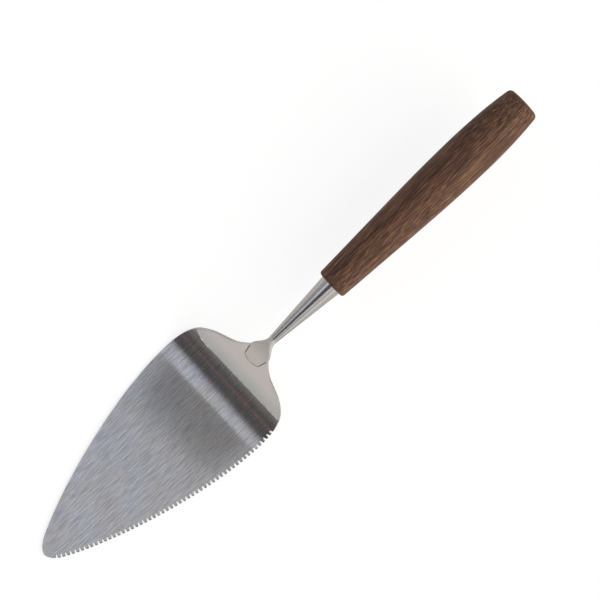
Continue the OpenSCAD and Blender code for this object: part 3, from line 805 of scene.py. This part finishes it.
def formed_blade(flat, b):
    """Bends a flat, filled outline into the sheet, with its thickness, rounded edges and ground teeth."""
    bm = bmesh.new()
    bm.from_mesh(flat)
    bmesh.ops.remove_doubles(bm, verts=bm.verts, dist=1e-8)
    lengthwise = [((0, y, 0), (0, 1, 0)) for y in np.arange(-5, 6) * b.blade_w / 12]
    flat_cuts = np.arange(FLAT_CUTS_FROM, b.flat_len - FLAT_CUTS_LEAVE, FLAT_CUTS_BY)
    stations = np.concatenate([flat_cuts, bend_stations(b)])
    across = [((run, 0, 0), (1, 0, 0)) for run in stations]
    for point, facing_way in across + lengthwise:
        bmesh.ops.bisect_plane(bm, geom=bm.verts[:] + bm.edges[:] + bm.faces[:], dist=1e-7,
                               plane_co=point, plane_no=facing_way)
    bmesh.ops.recalc_face_normals(bm, faces=bm.faces)
    crest_layer = bm.verts.layers.float.get("crest")
    if bm.faces[:] and sum(f.normal.z * f.calc_area() for f in bm.faces) < 0:
        bmesh.ops.reverse_faces(bm, faces=bm.faces)
    bm.verts.index_update()
    points = np.array([v.co[:2] for v in bm.verts])
    crest = np.array([v[crest_layer] for v in bm.verts]) if crest_layer else np.zeros(len(points))
    faces = [[v.index for v in f.verts] for f in bm.faces]
    # The edge, walked with the sheet on its left
    after = {}
    for f in bm.faces:
        for loop in f.loops:
            if loop.edge.is_boundary:
                after[loop.vert.index] = loop.link_loop_next.vert.index
    bm.free()
    start = next(iter(after))
    rim = [start]
    while after[rim[-1]] != start:
        rim.append(after[rim[-1]])
    if len(rim) != len(after):
        raise RuntimeError("the blank has more than one edge")
    rim = np.array(rim)
    edge = points[rim]
    ahead = np.roll(edge, -1, axis=0) - edge
    ahead /= np.linalg.norm(ahead, axis=1)[:, None]
    normal = np.stack([ahead[:, 1], -ahead[:, 0]], 1)
    normal = normal + np.roll(normal, 1, axis=0)
    normal /= np.linalg.norm(normal, axis=1)[:, None]
    tip_of_tooth = ease((crest[rim] - GROUND_FROM) / GROUND_OVER)
    inset = b.edge_round + (b.tip_grind - b.edge_round) * tip_of_tooth
    path = sheet_path(b)

    def placed(flat_points, height):
        at, up = path.point(flat_points[:, 0]), path.up(flat_points[:, 0])
        return np.stack([at[0] + height * up[0], flat_points[:, 1], at[1] + height * up[1]], 1)

    def facing(flat_points, outward, lift):
        run = flat_points[:, 0]
        # Shading only, fitted to the photo's bands: a trace of hollow in the flat before the bend
        grown = ease((run - b.flat_len + b.spring_len) / (SPRING_GROWS * b.spring_len))
        share = grown * (1 - ease((run - b.flat_len + SPRING_ENDS / 2) / SPRING_ENDS))
        side = flat_points[:, 1] / (b.blade_w / 2)
        inside = ease((1 - np.abs(side)) * b.blade_w / 2 / b.spring_side)
        share = share * (SPRING_AT_EDGES + (1 - SPRING_AT_EDGES) * inside)
        # Fitted in the same way: a slight twist of the bend, and a crisp line that is late at the plain edge
        twist = b.press_twist * side * ease((run - b.flat_len - SPRING_ENDS / 2) / SPRING_ENDS)
        twist = twist * ease((press_line_run(b) - run) / TWIST_ENDS)
        late = b.press_hook * np.clip((side - HOOK_FROM) / HOOK_OVER, 0, HOOK_MOST) ** 2
        before, after = b.press_line - PRESS_STEP / 2, b.press_line + PRESS_STEP / 2
        lags_from, held = before - LAG_FROM * PRESS_STEP, before - LAG_BY * PRESS_STEP
        crisp = np.interp(path.slope(run) - twist, [0, lags_from, before], [0, lags_from, held])
        crisp += (b.tongue_slope - crisp) * np.interp(path.slope(run - late), [before, after], [0, 1])
        angle = crisp - b.spring_back * share
        up, on = np.array([-np.sin(angle), np.cos(angle)]), np.array([np.cos(angle), np.sin(angle)])
        return np.stack([outward[:, 0] * on[0] + lift * up[0], outward[:, 1],
                         outward[:, 0] * on[1] + lift * up[1]], 1)

    count, ring = len(points), len(rim)
    top = points.copy()
    top[rim] = edge - normal * inset[:, None]
    under = points.copy()
    under[rim] = edge - normal * b.edge_round
    still = np.zeros_like(points)
    spots = [placed(top, 0.0), placed(under, -b.sheet_t)]
    looks = [facing(top, still, 1.0), facing(under, still, -1.0)]
    flat_at = [top, under]
    steps = [(30, 1), (60, 1), (90, 1), (90, -1), (45, -1)]
    drop = b.edge_round + (0.5 * b.tip_grind - b.edge_round) * tip_of_tooth
    for degrees, side in steps:
        c, s = math.cos(math.radians(degrees)), math.sin(math.radians(degrees))
        width, depth = (inset, drop) if side > 0 else (b.edge_round, b.edge_round)
        at = edge - normal * (width * (1 - s) * np.ones(ring))[:, None]
        height = -depth * (1 - c) if side > 0 else -b.sheet_t + depth * (1 - c)
        spots.append(placed(at, height))
        looks.append(facing(at, normal * s, side * c))
        flat_at.append(at)
    rows = [rim] + [2 * count + ring * k + np.arange(ring) for k in range(len(steps))] + [rim + count]
    made_faces = faces + [[i + count for i in f[::-1]] for f in faces]
    body_faces = len(made_faces)
    for upper, lower in zip(rows[:-1], rows[1:]):
        for i in range(ring):
            j = (i + 1) % ring
            made_faces.append([upper[i], lower[i], lower[j], upper[j]])
    mesh = bpy.data.meshes.new("blade_sheet")
    mesh.from_pydata(np.vstack(spots).tolist(), [], [[int(i) for i in f] for f in made_faces])
    mesh.update()
    # Where the sheet lies, for the brushing that follows its length, and how much darker each corner is
    # painted at the teeth's ground ends, as painted shade
    corners = np.zeros(len(mesh.loops), np.int32)
    mesh.loops.foreach_get("vertex_index", corners)
    sheet_at = np.vstack(flat_at)[corners]
    uv = mesh.uv_layers.new(name="sheet")
    uv.data.foreach_set("uv", sheet_at.astype(np.float32).ravel())
    ground = np.concatenate([np.zeros(2 * count)] + [tip_of_tooth] * len(steps))
    ground[rim] = tip_of_tooth * 0.6
    on_body = np.zeros(len(mesh.polygons), bool)
    on_body[:body_faces] = True
    totals = np.zeros(len(mesh.polygons), np.int32)
    mesh.polygons.foreach_get("loop_total", totals)
    shade = np.where(np.repeat(on_body, totals), 0.0, ground[corners])
    kept = mesh.attributes.new("ground", "FLOAT", "CORNER")
    kept.data.foreach_set("value", shade.astype(np.float32))
    mesh.shade_smooth()
    mesh.normals_split_custom_set_from_vertices(np.vstack(looks).tolist())
    return mesh


def section_points(half_w, half_h, rounding, arc_steps=8):
    """Points of a rounded rectangle, anticlockwise, with extra points near the corners of its flats."""
    corners = [(1, 1), (-1, 1), (-1, -1), (1, -1)]

    def on_arc(corner, step):
        across, up = corners[corner % 4]
        a = math.pi / 2 * (corner + step / arc_steps)
        return np.array((across * (half_w - rounding) + rounding * math.cos(a),
                         up * (half_h - rounding) + rounding * math.sin(a)))

    found = []
    for corner in range(4):
        found += [on_arc(corner, step) for step in range(arc_steps + 1)]
        last, following = found[-1], on_arc(corner + 1, 0)
        found += [last + (following - last) * share for share in (0.05, 0.5, 0.95)]
    return np.array(found)


def stem_sections(s):
    """Sections of the palm, neck, taper, shoulder and tang, as (length along the middle, half width, half
    thickness, rounding)."""
    found = []
    for run in np.concatenate([s.edge_r * (1 - np.cos(np.linspace(0, math.pi / 2, 7))),
                               s.end_len * (1 - np.cos(np.linspace(math.radians(45), math.pi / 2, 9))),
                               np.linspace(s.end_len, s.narrow_from, 6)[1:],
                               np.linspace(s.narrow_from, s.cone_start, 46)[1:]]):
        falls = s.edge_r - math.sqrt(max(s.edge_r ** 2 - max(s.edge_r - run, 0) ** 2, 0))
        thick = ease((run - s.palm_len) / s.neck_turn)
        half_w = max(palm_half_width(run, s) - falls, 0.2 * s.edge_r)
        half_t = s.palm_t / 2 + (s.neck_d / 2 - s.palm_t / 2) * thick - falls
        rounding = s.edge_r + (s.neck_d / 2 - s.edge_r) * thick
        found.append((run, half_w, half_t, max(min(rounding, half_w, half_t) * (1 - 1e-4), 1e-5)))
    for share in np.linspace(0, 1, 25)[1:]:
        radius = (s.neck_d + (s.stem_d - s.neck_d) * share) / 2
        found.append((s.cone_start + s.stem_len * share, radius, radius, radius))
    tang = s.tang_d / 2
    profile = [(0, tang)]
    for i in range(s.groove_count):
        at = s.groove_start + i * s.groove_pitch
        profile += [(at, tang), (at, tang - s.groove_depth),
                    (at + s.groove_w, tang - s.groove_depth), (at + s.groove_w, tang)]
    profile += [(s.tang_len - s.tang_chamfer, tang), (s.tang_len, tang - s.tang_chamfer)]
    found += [(s.shoulder + at, r, r, r) for at, r in profile]
    return found


def forged_stem(b, s):
    """One closed skin over the stem's sections."""
    path = stem_path(b, s)
    rings = []
    for run, half_w, half_t, rounding in stem_sections(s):
        at, up = path.point(run), path.up(run)
        rings.append([(at[0] + q * up[0], p, at[1] + q * up[1])
                      for p, q in section_points(half_w, half_t, rounding)])
    around = len(rings[0])
    faces = [[i * around + j, (i + 1) * around + j, (i + 1) * around + (j + 1) % around,
              i * around + (j + 1) % around] for i in range(len(rings) - 1) for j in range(around)]
    faces += [list(range(around))[::-1], [(len(rings) - 1) * around + j for j in range(around)]]
    mesh = bpy.data.meshes.new("forged_stem")
    mesh.from_pydata([p for ring in rings for p in ring], [], faces)
    closed_up(mesh)
    mesh.shade_smooth()
    mesh.set_sharp_from_angle(angle=math.radians(38))
    return mesh


def weld_shade_line_path(b, s):
    """The palm's outline where it meets the tongue, from one side round the free end to the other."""
    sheet, foot, side = sheet_path(b), palm_foot(b, s), half_outline(b)
    found = []
    turns = np.concatenate([s.end_len * (1 - np.cos(np.linspace(0, math.pi / 2, 16))),
                            np.linspace(s.end_len, s.palm_len - s.tongue_clear, 30)[1:]])
    for run in turns:
        half_w = palm_half_width(run, s)
        if half_w > np.interp(foot + run, side[:, 0], side[:, 1]) - 0.3 * s.weld_line:
            break
        found.append((foot + run, half_w))
    flat = [(r, -w) for r, w in found[::-1]] + [(r, w) for r, w in found[1:]]
    placed = []
    for r, w in flat:
        w += math.copysign(0.25 * s.weld_line, w) if w else 0.0
        at = sheet.point(r) + sheet.up(r) * 0.25 * s.weld_line
        placed.append((at[0], w, at[1]))
    return placed


def bead_tree():
    """A round bead that follows a line of points."""
    tree, given, result, names = new_geometry_tree("bead_on_path", [
        ("Bead Width", "NodeSocketFloat"), ("Point Spacing", "NodeSocketFloat"),
        ("Material", "NodeSocketMaterial")])
    ask = given.outputs
    cut = even_curve(tree, ask)
    half = calc(tree, "MULTIPLY", ask["Bead Width"], 0.5)
    round_section = add_node(tree, "GeometryNodeCurvePrimitiveCircle", None,
                             {"Resolution": 10, "Radius": half})
    bead = add_node(tree, "GeometryNodeCurveToMesh", None,
                    {"Curve": cut.outputs[0], "Profile Curve": round_section.outputs[0], "Fill Caps": True})
    smooth = add_node(tree, "GeometryNodeSetShadeSmooth", None,
                      {"Geometry": bead.outputs[0], "Shade Smooth": True})
    end_with_material(tree, result, smooth.outputs[0], ask["Material"])
    return tree, names


def turned_tree():
    """Turns a profile, given as a row of points of distance and radius, round its axis."""
    tree, given, result, names = new_geometry_tree("turned_piece", [
        ("Segments", "NodeSocketInt"), ("Axis Start", "NodeSocketVector"), ("Axis Slope", "NodeSocketFloat"),
        ("Material", "NodeSocketMaterial")])
    ask = given.outputs
    count = add_node(tree, "GeometryNodeAttributeDomainSize", {"component": "MESH"},
                     {"Geometry": ask["Geometry"]})
    last = calc(tree, "SUBTRACT", count.outputs["Point Count"], 1.0)
    around = calc(tree, "ADD", ask["Segments"], 1.0)
    grid = add_node(tree, "GeometryNodeMeshGrid", None,
                    {"Size X": last, "Size Y": 1.0, "Vertices X": count.outputs["Point Count"],
                     "Vertices Y": around})
    place = add_node(tree, "GeometryNodeInputPosition")
    at = split(tree, place.outputs[0])
    half = calc(tree, "MULTIPLY", last, 0.5)
    step = calc(tree, "ADD", at["X"], half)
    index = calc(tree, "ROUND", step)
    profile = add_node(tree, "GeometryNodeSampleIndex", {"data_type": "FLOAT_VECTOR", "domain": "POINT"},
                       {"Geometry": ask["Geometry"], "Value": place.outputs[0], "Index": index})
    point = split(tree, profile.outputs[0])
    angle = calc(tree, "MULTIPLY", at["Y"], 2 * math.pi)
    flat = add_node(tree, "ShaderNodeCombineXYZ", None, {"X": point["X"], "Y": point["Y"], "Z": 0.0})
    wound = turned(tree, "X", flat.outputs[0], angle)
    raised = calc(tree, "MULTIPLY", ask["Axis Slope"], -1.0)
    moved = vector_calc(tree, "ADD", turned(tree, "Y", wound, raised), ask["Axis Start"])
    skin = add_node(tree, "GeometryNodeSetPosition", None, {"Geometry": grid.outputs[0], "Position": moved})
    joined = add_node(tree, "GeometryNodeMergeByDistance", None,
                      {"Geometry": skin.outputs[0], "Distance": 1e-6})
    end_with_material(tree, result, joined.outputs[0], ask["Material"])
    return tree, names


def handle_profile(h, tang_len):
    """Profile of the handle as distance and radius, from the bottom of the bore out and round to the rear."""
    bore_len = tang_len + h.bore_past_tang
    point_len = h.bore_d / 2 / math.tan(h.drill_angle / 2)
    found = [(bore_len + point_len, 0.0), (bore_len, h.bore_d / 2), (0.0, h.bore_d / 2)]
    for a in np.linspace(0, math.pi / 2, 9):
        found.append((h.front_edge_r * (1 - math.cos(a)), h.front_d / 2 - h.front_edge_r * (1 - math.sin(a))))
    belly = [[0, 0], [0.38, 0.446], [0.7, 1], [1, 1]]
    rear = [[0, 1], [0.41, 1], [0.75, 0.61], [1, 0]]
    edge_at = h.length - h.rear_edge_r
    front_end, fullest = (h.front_edge_r, h.front_d / 2), (h.belly_at, h.belly_d / 2)
    found += [tuple(p) for p in cubic(belly, front_end, fullest, 48)]
    found += [tuple(p) for p in cubic(rear, (h.belly_at, h.rear_d / 2), (edge_at, h.belly_d / 2), 24)]
    for a in np.linspace(0, math.pi / 2, 11)[1:]:
        radius = h.rear_d / 2 - h.rear_edge_r * (1 - math.cos(a))
        found.append((edge_at + h.rear_edge_r * math.sin(a), radius))
    face_r = h.rear_d / 2 - h.rear_edge_r
    for share in np.linspace(1, 0, 7)[1:]:
        found.append((h.length + h.rear_dome * (1 - share ** 2), face_r * share))
    return found


# Operators

class CAKESERVER_OT_blade(bpy.types.Operator):
    """Cuts the toothed blank, bends it and brushes it"""
    bl_idname = "cake_server.blade"
    bl_label = "Blade"

    def execute(self, context):
        b, teeth = context.scene.cake_server_blade, context.scene.cake_server_teeth
        steel = brushed_steel(context.scene.cake_server_finish, press_line_run(b))
        outline, last_gap = blank_outline(b, teeth)
        tree, names = toothed_edge_tree()
        flat = shaped_by(tree, names, {
            "Tooth Pitch": teeth.pitch, "Tooth Depth": teeth.depth,
            "First Gap Mouth": teeth.pitch - teeth.first_w, "Last Gap Mouth": teeth.pitch - teeth.last_w,
            "Gap Root Width": teeth.root_w,
            "First Gap": teeth.plain_edge, "Last Gap": last_gap,
            "Point Spacing": teeth.point_step, "Material": steel}, outline)
        piece("blade_sheet", formed_blade(flat, b), steel, ["blade"])
        return {"FINISHED"}


class CAKESERVER_OT_stem(bpy.types.Operator):
    """Forges the palm and the neck, and grinds the tapered stem and its tang"""
    bl_idname = "cake_server.stem"
    bl_label = "Stem"

    def execute(self, context):
        b, finish = context.scene.cake_server_blade, context.scene.cake_server_finish
        s = StemSizes(b, context.scene.cake_server_stem)
        path = stem_path(b, s)
        steel = satin_steel(finish, s, path.point(s.cone_start)[0], path.point(0), b.tongue_slope)
        piece("forged_stem", forged_stem(b, s), steel, ["stem"])
        return {"FINISHED"}


class CAKESERVER_OT_weld_shade_line(bpy.types.Operator):
    """Draws the thin dark line of painted shade where the palm is welded on the tongue"""
    bl_idname = "cake_server.weld_line"
    bl_label = "Weld line"

    def execute(self, context):
        b = context.scene.cake_server_blade
        s = StemSizes(b, context.scene.cake_server_stem)
        joint_shade = joint_shade_bead(context.scene.cake_server_finish)
        tree, names = bead_tree()
        asked = {"Bead Width": s.weld_line, "Point Spacing": s.weld_line / 2, "Material": joint_shade}
        mesh = shaped_by(tree, names, asked, wire("weld_path", weld_shade_line_path(b, s)))
        piece("weld_line", closed_up(mesh), joint_shade)
        return {"FINISHED"}


class CAKESERVER_OT_handle(bpy.types.Operator):
    """Turns the walnut handle and bores it for the tang"""
    bl_idname = "cake_server.handle"
    bl_label = "Handle"

    def execute(self, context):
        b, h = context.scene.cake_server_blade, context.scene.cake_server_handle
        s = StemSizes(b, context.scene.cake_server_stem)
        front = stem_path(b, s).point(s.shoulder)
        start = (front[0], 0.0, front[1])
        walnut = oiled_walnut(context.scene.cake_server_finish, start, s.handle_slope)
        tree, names = turned_tree()
        profile = [(x, r, 0.0) for x, r in handle_profile(h, s.tang_len)]
        asked = {"Segments": h.segments, "Axis Start": start, "Axis Slope": s.handle_slope,
                 "Material": walnut}
        mesh = shaped_by(tree, names, asked, wire("handle_profile", profile))
        closed_up(mesh)
        mesh.shade_smooth()
        mesh.set_sharp_from_angle(angle=math.radians(40))
        piece("walnut_handle", mesh, walnut, ["handle"])
        return {"FINISHED"}


class CAKESERVER_OT_glue(bpy.types.Operator):
    """Gives the glue round the tang its finish"""
    bl_idname = "cake_server.glue"
    bl_label = "Glue"

    def execute(self, context):
        data = frame["nodes"]["glue_sleeve"].data
        data.materials.clear()
        data.materials.append(cured_epoxy(context.scene.cake_server_finish))
        return {"FINISHED"}


def studio_dome(world):
    """Soft studio light as a dome of panels in a dim room: a key to the right of the handle, and softboxes
    with a gap between them. The panels are fitted to what the bend mirrors in the photo, except the key's
    weaker low half and the two faint ones past the tip, which keep the flat grey from other sides. What the
    camera sees of the dome is white."""
    world.use_nodes = True
    tree = world.node_tree
    tree.nodes.clear()
    way = add_node(tree, "ShaderNodeTexCoord").outputs["Generated"]
    part = split(tree, way)
    back = calc(tree, "MULTIPLY", part["X"], -1.0)
    # The angle off straight up, towards the tip, and the share of the way to the plain side
    tipward = calc(tree, "ARCTAN2", back, part["Z"])
    sideward = part["Y"]
    # Each panel: angles that it fills, shares to the side that it fills, soft edges of both, colour, strength
    panels = [
        ((2, 19.5), (0.28, 0.63), (1.3, 0.05), "#EEF4FF", 1.64),
        ((2, 19.5), (0.63, 1.1), (1.3, 0.05), "#EEF2FF", 1.0),
        ((2, 19.5), (-1.1, -0.33), (1.3, 0.06), "#FAFCFF", 1.61),
        ((2, 19.5), (-0.33, 0.28), (1.3, 0.05), "#EEF0FF", 0.14),
        ((-14, 2), (0.28, 0.84), (1.5, 0.05), "#FFFFFF", 0.38),
        ((-14, 2), (-1.1, -0.33), (1.5, 0.05), "#FFFFFF", 0.38),
        ((-14, 2), (-1.1, -0.62), (1.5, 0.05), "#FFFFFF", 1.0),
        ((-120, 120), (-1.1, -0.82), (4, 0.05), "#FFFFFF", 1.0),
        ((-120, 120), (0.82, 1.1), (4, 0.05), "#F4F6FF", 0.53),
        ((46.8, 49.2), (-0.8, 0.8), (0.8, 0.05), "#FFC4B4", 0.36),
        ((79, 120), (-0.82, 1.1), (3, 0.05), "#FAF7F4", 2.0),
        ((-48, -14), (-0.82, -0.05), (6, 0.15), "#FFFBF5", 3.2),
        ((-75, -48), (-0.82, -0.05), (6, 0.15), "#FFFBF5", 1.1),
        ((28, 79), (-0.82, -0.5), (6, 0.1), "#FFFFFF", 0.36),
        ((28, 79), (0.5, 0.82), (6, 0.1), "#FFFFFF", 0.36),
        ((-75, -14), (0.05, 0.8), (6, 0.15), "#F5F8FF", 0.3),
    ]
    total = None
    for (a0, a1), (y0, y1), (soft_a, soft_y), tint, strength in panels:
        windows = []
        angles = (tipward, math.radians(a0), math.radians(a1), math.radians(soft_a))
        for value, low, high, soft in (angles, (sideward, y0, y1, soft_y)):
            for edge, rising in ((low, True), (high, False)):
                windows.append(remap(tree, value, edge - soft, edge + soft, 0.0 if rising else 1.0,
                                     1.0 if rising else 0.0, smooth=True))
        share = windows[0]
        for other in windows[1:]:
            share = calc(tree, "MULTIPLY", share, other)
        light = [c * strength for c in linear(tint)[:3]]
        scaled = vector_calc(tree, "SCALE", light, share)
        total = scaled if total is None else vector_calc(tree, "ADD", total, scaled)
    room = vector_calc(tree, "ADD", total, ROOM_LIGHT)
    studio = add_node(tree, "ShaderNodeBackground", None, {"Color": room, "Strength": 1.0})
    white = add_node(tree, "ShaderNodeBackground", None, {"Color": (1, 1, 1, 1), "Strength": 1.0})
    rays = add_node(tree, "ShaderNodeLightPath")
    seen = add_node(tree, "ShaderNodeMixShader", None,
                    {0: rays.outputs["Is Camera Ray"], 1: studio.outputs[0], 2: white.outputs[0]})
    output = add_node(tree, "ShaderNodeOutputWorld")
    tree.links.new(seen.outputs[0], output.inputs[0])


class CAKESERVER_OT_stage(bpy.types.Operator):
    """Sets the pale floor, the soft studio light and the camera over the server"""
    bl_idname = "cake_server.stage"
    bl_label = "Stage"

    def execute(self, context):
        t = context.scene.cake_server_stage
        scene = context.scene
        data = bpy.data.meshes.new("floor")
        reach, low = 6.0, -0.0002
        corners = [(x * reach, y * reach, low) for x, y in ((-1, -1), (1, -1), (1, 1), (-1, 1))]
        data.from_pydata(corners, [], [(0, 1, 2, 3)])
        data.materials.append(pale_floor(t))
        floor = bpy.data.objects.new("floor", data)
        scene.collection.objects.link(floor)
        scene.world = bpy.data.worlds.new("studio")
        studio_dome(scene.world)
        lens = bpy.data.cameras.new("camera")
        lens.sensor_width = 36.0
        lens.lens = lens.sensor_width * t.camera_height / t.frame_w
        lens.clip_start, lens.clip_end = 0.01, 50.0
        camera = bpy.data.objects.new("camera", lens)
        camera.location = (t.centre[0], t.centre[1], t.camera_height)
        camera.rotation_euler = (0.0, 0.0, -t.turn)
        scene.collection.objects.link(camera)
        scene.camera = camera
        scene.view_settings.view_transform = "Standard"
        return {"FINISHED"}


class CAKESERVER_PT_panel(bpy.types.Panel):
    """Sizes, colours and steps of the cake server"""
    bl_label = "Cake Server"
    bl_idname = "CAKESERVER_PT_panel"
    bl_space_type = "VIEW_3D"
    bl_region_type = "UI"
    bl_category = "Cake Server"

    def draw(self, context):
        for operator in OPERATORS:
            self.layout.operator(operator.bl_idname)
        for name, group in GROUPS.items():
            box = self.layout.box()
            box.label(text=group.__doc__)
            for prop in group.__annotations__:
                box.prop(getattr(context.scene, name), prop)


OPERATORS = [CAKESERVER_OT_blade, CAKESERVER_OT_stem, CAKESERVER_OT_weld_shade_line, CAKESERVER_OT_handle,
             CAKESERVER_OT_glue, CAKESERVER_OT_stage]


def register():
    for group in GROUPS.values():
        bpy.utils.register_class(group)
    for name, group in GROUPS.items():
        setattr(bpy.types.Scene, name, PointerProperty(type=group))
    for operator in OPERATORS:
        bpy.utils.register_class(operator)
    bpy.utils.register_class(CAKESERVER_PT_panel)


def unregister():
    bpy.utils.unregister_class(CAKESERVER_PT_panel)
    for operator in reversed(OPERATORS):
        bpy.utils.unregister_class(operator)
    for name in GROUPS:
        delattr(bpy.types.Scene, name)
    for group in reversed(list(GROUPS.values())):
        bpy.utils.unregister_class(group)


def main():
    register()
    for step in OPERATORS:
        family, name = step.bl_idname.split(".")
        getattr(getattr(bpy.ops, family), name)()


if __name__ == "__main__":
    main()
